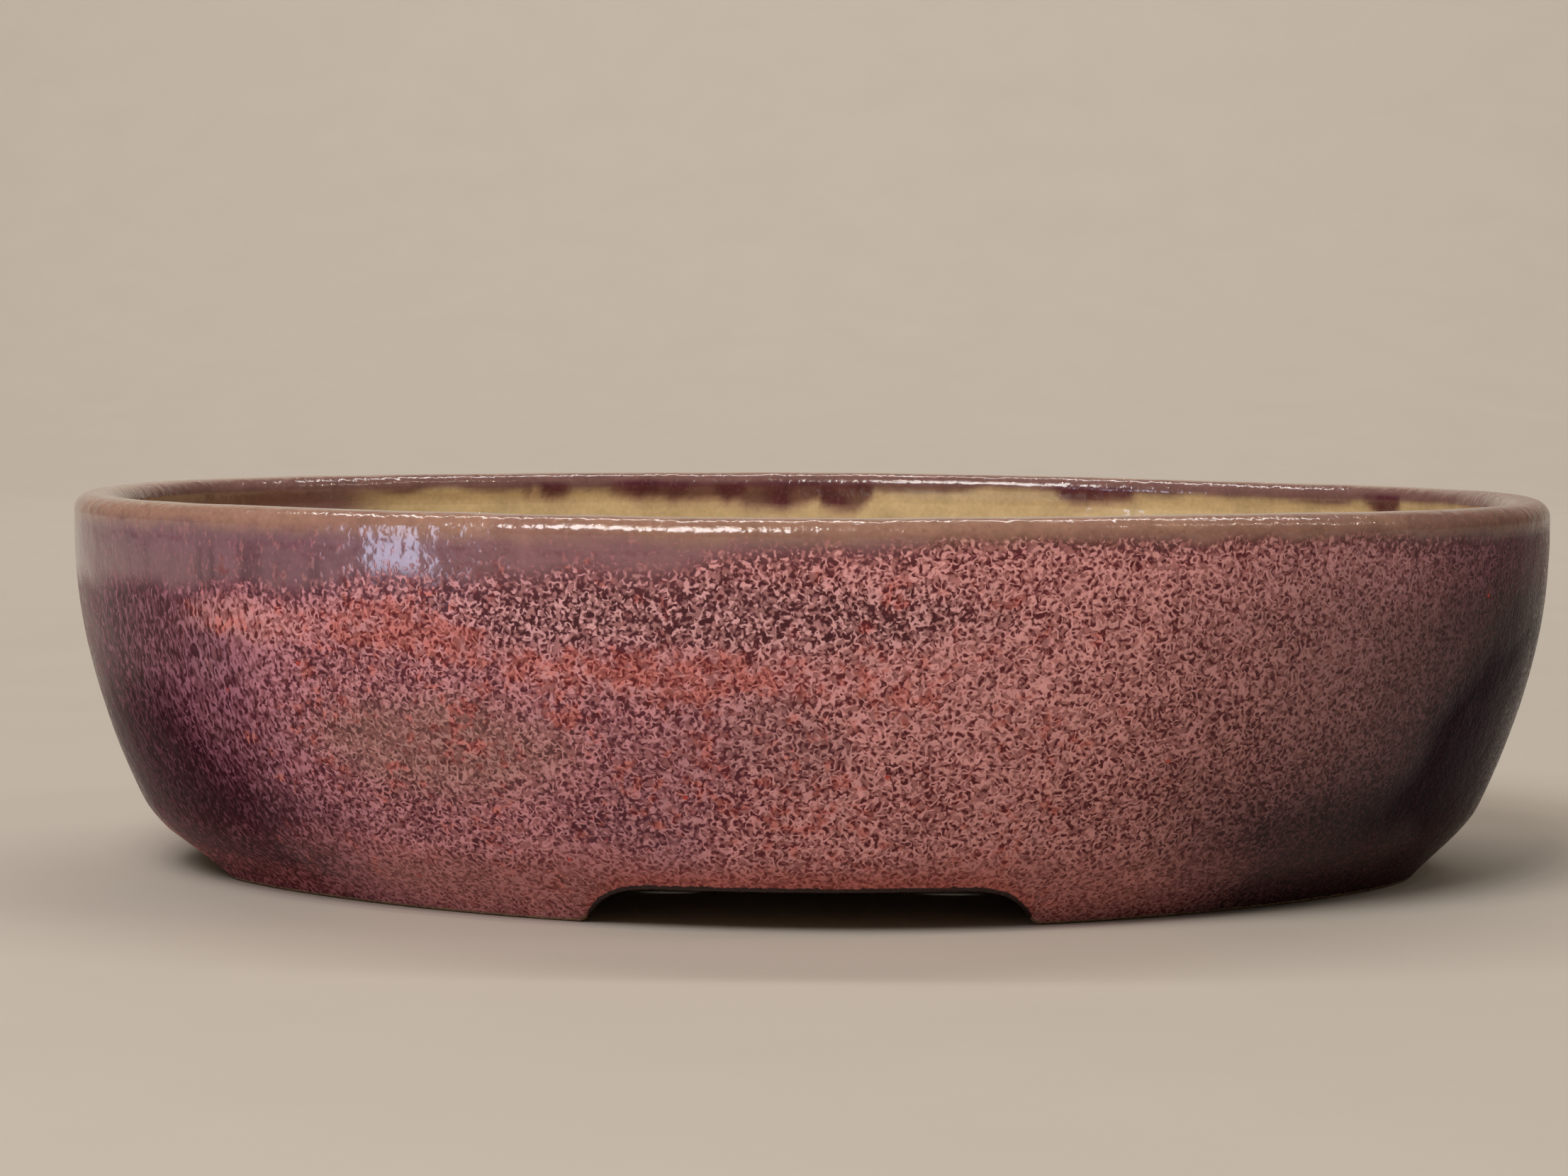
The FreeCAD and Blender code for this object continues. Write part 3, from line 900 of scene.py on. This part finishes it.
def glaze_material(name):
    s = Shader(name)
    where = s.millimetres()
    cover, streak, soft = s.channels(s.attribute("glaze_form"))
    clay_level, burnt_level, dull = s.channels(s.attribute("glaze_wear"))

    depth, full, strands = crystal_pattern(s, where, cover, streak, soft)
    crystals = s.math("MAXIMUM", full, strands)
    level = s.plus(s.math("MULTIPLY", full, 0.5), strands, 0.6)
    crystal, flame = crystal_colour(s, where, strands, soft)
    wash = s.noise(where, 0.16, 3.0, 0.6)
    colour = s.mix(crystals, ground_colour(s, where, cover, depth, wash, flame), crystal)
    colour = add_spots(s, where, colour, cover)
    colour, bare, grit = add_wear(s, where, colour, clay_level, burnt_level)

    dry = s.vary(s.plus(0.17, crystals, 0.16), wash, 0.12)
    rough = s.add("ShaderNodeMix", {0: bare, 2: dry, 3: 0.82})

    on_lip = s.add("ShaderNodeSeparateXYZ", {"Vector": where}, "Z")
    on_lip = s.between(on_lip, LIP_LOW, LIP_HIGH)
    height = s.math("MULTIPLY", level, 0.045)
    height = s.plus(height, s.noise(where, 0.7, 1.0), 0.03)
    height = s.plus(height, s.noise(where, 0.22, 2.0, 0.5), 0.2)
    height = s.plus(height, s.math("MULTIPLY", s.noise(where, 0.4, 1.0), on_lip), 0.22)
    height = s.plus(height, s.math("MULTIPLY", bare, grit), 0.25)
    bump = s.bump(height)

    flecked = s.between(cover, 0.1, 0.35)
    coat = s.math("SUBTRACT", 0.75, s.math("MULTIPLY", s.math("MAXIMUM", bare, flecked), 0.75))
    coat = s.math("MULTIPLY", coat, s.math("SUBTRACT", 1.0, dull))
    shine = s.math("SUBTRACT", 0.5, s.math("MULTIPLY", flecked, 0.3))
    shine = s.math("MULTIPLY", shine, s.math("SUBTRACT", 1.0, s.math("MULTIPLY", dull, 0.96)))
    return s.finish(Base_Color=colour, Roughness=rough, Normal=bump, Coat_Weight=coat, Coat_Roughness=0.07,
                    Coat_Normal=bump, Specular_IOR_Level=shine)


def net_material():
    s = Shader("net_plastic_moulded")
    where = s.millimetres()
    mottle = s.noise(where, 0.8, 3.0, 0.6)
    colour = s.mix(mottle, rgba((30, 33, 31)), rgba((52, 56, 53)))
    rough = s.plus(0.42, s.between(mottle, 0.2, 0.8, "LINEAR"), 0.2)
    bump = s.bump(s.noise(where, 4.0, 2.0), 0.5, 0.1)
    return s.finish(Base_Color=colour, Roughness=rough, Normal=bump)


def wire_material():
    s = Shader("clip_wire_anodised")
    where = s.millimetres()
    wear = s.noise(where, 0.5, 4.0, 0.65)
    colour = s.mix(s.between(wear, 0.5, 0.72), rgba((150, 104, 74)), rgba((196, 170, 148)))
    rough = s.plus(0.26, wear, 0.2)
    bump = s.bump(s.noise(where, 6.0, 2.0), 0.4, 0.05)
    return s.finish(Base_Color=colour, Roughness=rough, Metallic=1.0, Normal=bump)


def stage_material():
    s = Shader("stage_paper")
    where = s.millimetres()
    fibre = s.noise(where, 0.02, 4.0, 0.6)
    colour = s.mix(fibre, rgba((196, 187, 176)), rgba((202, 193, 181)))
    bump = s.bump(s.noise(where, 1.5, 2.0), 0.2, 0.1)
    return s.finish(Base_Color=colour, Roughness=0.9, Normal=bump, Specular_IOR_Level=0.1)


# --- Drain fittings ---

def drain_net(name, x):
    """A moulded net: flat strands with softened edges, crossing at square cells."""
    soft = 0.2
    start = -(NET_CELLS * NET_PITCH + NET_STRAND) / 2
    lines = []
    for k in range(NET_CELLS + 1):
        first = start + k * NET_PITCH
        lines += [first, first + NET_STRAND]
    cells = bmesh.new()
    grid = [[cells.verts.new((x + a, b, NET_LOW[2])) for b in lines] for a in lines]
    kept = []
    for i, j in itertools.product(range(len(lines) - 1), repeat=2):
        if i % 2 == 0 or j % 2 == 0:
            kept.append(cells.faces.new((grid[i][j], grid[i + 1][j], grid[i + 1][j + 1], grid[i][j + 1])))
    lifted = bmesh.ops.extrude_face_region(cells, geom=kept)["geom"]
    raised = [v for v in lifted if isinstance(v, bmesh.types.BMVert)]
    bmesh.ops.translate(cells, verts=raised, vec=(0, 0, NET_TOP - NET_LOW[2]))
    bmesh.ops.recalc_face_normals(cells, faces=cells.faces)
    rims = [e for e in cells.edges if len(e.link_faces) == 2 and e.calc_face_angle() > 1.0]
    bmesh.ops.bevel(cells, geom=rims, offset=soft, segments=3, profile=0.6, affect="EDGES")
    bmesh.ops.dissolve_degenerate(cells, edges=cells.edges, dist=1e-4)
    for vert in cells.verts:
        vert.co *= MM
    mesh = bpy.data.meshes.new(name)
    cells.to_mesh(mesh)
    cells.free()
    mesh.shade_smooth()
    return add_object(name, mesh)


def clip_path():
    """The clip's centre line, toe to toe, round its two loops."""
    top = NET_TOP + CLIP_GAP + WIRE_RADIUS
    toe = FOOT_TOP - CLIP_GAP - WIRE_RADIUS
    bend = np.linspace(0, math.pi / 2, 10)[1:]
    half = [(-CLIP_LOOP, y, toe) for y in np.linspace(CLIP_TOE, CLIP_LEG_Y + WIRE_BEND, 8)]
    for turn in bend:
        y = CLIP_LEG_Y + WIRE_BEND * (1 - math.sin(turn))
        half.append((-CLIP_LOOP, y, toe + WIRE_BEND * (1 - math.cos(turn))))
    half += [(-CLIP_LOOP, CLIP_LEG_Y, z) for z in np.linspace(toe + WIRE_BEND, top - WIRE_BEND, 8)[1:]]
    for turn in bend:
        y = CLIP_LEG_Y + WIRE_BEND * (1 - math.cos(turn))
        half.append((-CLIP_LOOP, y, top - WIRE_BEND * (1 - math.sin(turn))))
    for turn in np.linspace(0, math.pi, 26):
        half.append((-CLIP_LOOP * math.cos(turn), CLIP_LOOP_Y + CLIP_LOOP * math.sin(turn), top))
    half += [(CLIP_LOOP, y, top) for y in np.linspace(CLIP_LOOP_Y, 0, 14)[1:]]
    half = np.array(half)
    return np.concatenate([half, (half[:-1] * [1, -1, 1])[::-1]])


def mesh_clip(name, x):
    """The clip's wire, swept round its path with filed ends."""
    sides = 14
    filed = 0.72
    path = clip_path() + [x, 0, 0]
    ahead = np.gradient(path, axis=0)
    ahead /= np.linalg.norm(ahead, axis=1, keepdims=True)
    side = np.array([1.0, 0, 0])
    turn = np.linspace(0, 2 * math.pi, sides, endpoint=False)[:, None]
    rows = []
    for step, (centre, forward) in enumerate(zip(path, ahead)):
        side = side - forward * np.dot(side, forward)
        side /= np.linalg.norm(side)
        other = np.cross(forward, side)
        radius = WIRE_RADIUS * (filed if step in (0, len(path) - 1) else 1.0)
        rows.append(centre + radius * (np.cos(turn) * side + np.sin(turn) * other))
    points = np.concatenate(rows)
    ends = [range(sides), range(len(points) - sides, len(points))]
    faces = [tuple(face) for face in grid_faces(len(rows), sides, False, True)]
    faces += [tuple(ends[0])[::-1], tuple(ends[1])]
    thing = make_mesh(name, points, faces, ends)
    face_outward(thing.data)
    return thing


# --- Put together ---

pieces = []


def settle(thing, material, slot, *nodes):
    """Gives a piece its material and its place in the frame."""
    pieces.append(thing)
    thing.data.materials.append(material)
    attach(thing, "root")
    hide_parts(*nodes)


glaze = glaze_material("crystal_glaze")

band, base = rim_band()
depth = depth_inside(base)
paint_shell(base, smooth(RIM_WIDTH - RIM_INNER_ROUND, RIM_WIDTH - 0.6, depth)).save(band.data)
settle(band, glaze, "outer_glaze", "rim_band")

wall, base = pot_wall()
depth = depth_inside(base)
paint = paint_shell(base, smooth(2.0, 4.5, depth))
under = (base[:, 2] < FOOT_TOP + 0.01) & (depth > 0.3)
paint.clay[under] = smooth(0.6, 2.4, depth[under])
paint.burnt[under] = smooth(3.0, 0.8, depth[under])
paint.save(wall.data)
settle(wall, glaze, "outer_glaze", "pot_wall")

floor, base = pot_floor()
paint = Paint(base)
paint_floor(paint)
paint.save(floor.data)
settle(floor, glaze, "floor_glaze", "pot_floor")

for side_x, side_y in itertools.product((-1, 1), repeat=2):
    piece, base, node = foot(side_x, side_y)
    paint = Paint(base)
    paint_outside(paint)
    depth = depth_inside(base)
    paint.clay = np.maximum(paint.clay, smooth(0.9, 2.6, depth))
    paint.burnt *= smooth(3.0, 1.4, depth)
    paint.save(piece.data)
    settle(piece, glaze, "outer_glaze", node)

plastic = net_material()
metal = wire_material()
for side, x in (("left", -DRAIN_X), ("right", DRAIN_X)):
    settle(drain_net(f"drain_net_{side}", x), plastic, "net_plastic", f"drain_mesh_{side}")
    settle(mesh_clip(f"clip_wire_{side}", x), metal, "clip_wire", f"mesh_clip_{side}")


# --- Stage, light and camera: these are in metres ---

def backdrop():
    """A sheet of paper that lies under the pot and curves up behind it."""
    bend = 1.2
    behind = 1.6
    profile = [(-3.0, 0.0), (-0.5, 0.0), (0.5, 0.0), (behind, 0.0)]
    for turn in np.linspace(0, math.pi / 2, 12)[1:]:
        profile.append((behind + bend * math.sin(turn), bend * (1 - math.cos(turn))))
    profile.append((behind + bend, 4.0))
    across = np.linspace(-4.0, 4.0, 9)
    points = [(x, y, z) for y, z in profile for x in across]
    mesh = bpy.data.meshes.new("backdrop")
    mesh.from_pydata(points, [], grid_faces(len(profile), len(across), False, False).tolist())
    mesh.shade_smooth()
    thing = add_object("backdrop", mesh)
    thing.data.materials.append(stage_material())


def softbox(name, place, aim, size, power, colour):
    """A rectangular lamp that the camera doesn't see."""
    data = bpy.data.lights.new(name, "AREA")
    data.shape = "RECTANGLE"
    data.size, data.size_y = size
    data.energy = power
    data.color = colour
    light = add_object(name, data)
    light.visible_camera = False
    light.location = place
    light.rotation_euler = (Vector(aim) - Vector(place)).to_track_quat("-Z", "Y").to_euler()
    return light


def aimed(azimuth, elevation, distance):
    """A place at an azimuth from the front (plus to the right), an elevation and a distance."""
    turn, up = math.radians(azimuth), math.radians(elevation)
    return (distance * math.sin(turn) * math.cos(up), -distance * math.cos(turn) * math.cos(up),
            distance * math.sin(up))


def light_only(light, things):
    """Keeps a light off everything but these things."""
    lit = bpy.data.collections.new("lit_by_" + light.name)
    light.light_linking.receiver_collection = lit
    for thing in things:
        lit.objects.link(thing)


backdrop()
MIDDLE = (0.0, 0.0, 0.035)
CEILING_LAMPS = ((-8, 60), (-17, 60), (-26, 60), (-36, 60), (64, 52), (75, 44), (85, 36))
softbox("key", aimed(-25, 44, 1.7), MIDDLE, (0.8, 0.6), 16.3, (1.0, 0.96, 0.95))
window = softbox("window", (-0.2825, -0.2494, 0.10), (-0.066, -0.088, 0.10), (0.04, 0.22), 0.18,
                 (0.68, 0.74, 1.0))
light_only(window, pieces)
for azimuth, elevation in CEILING_LAMPS:
    place = aimed(azimuth, elevation, 1.8)
    softbox(f"ceiling_{azimuth}", place, MIDDLE, (0.035, 0.03), 0.8, (1.0, 0.93, 0.76))
softbox("backdrop_light", (0.0, 0.9, 2.2), (0.0, 2.5, 0.5), (3.0, 0.5), 46, (1.0, 0.96, 0.92))
world = bpy.data.worlds.new("studio")
bpy.context.scene.world = world
world.use_nodes = True
background = world.node_tree.nodes["Background"]
background.inputs["Color"].default_value = (0.86, 0.81, 0.77, 1)
background.inputs["Strength"].default_value = 0.14

lens = bpy.data.cameras.new("camera")
lens.lens = 90.0
lens.sensor_width = 36.0
camera = add_object("camera", lens)
yaw, pitch, roll = math.radians(0.404), math.radians(90 - 3.728), math.radians(0.341)
camera.matrix_world = (Matrix.Translation((0.0, -0.69824, 0.09462)) @ Matrix.Rotation(yaw, 4, "Z")
                       @ Matrix.Rotation(pitch, 4, "X") @ Matrix.Rotation(roll, 4, "Z"))
bpy.context.scene.camera = camera
bpy.context.scene.view_settings.view_transform = "Standard"
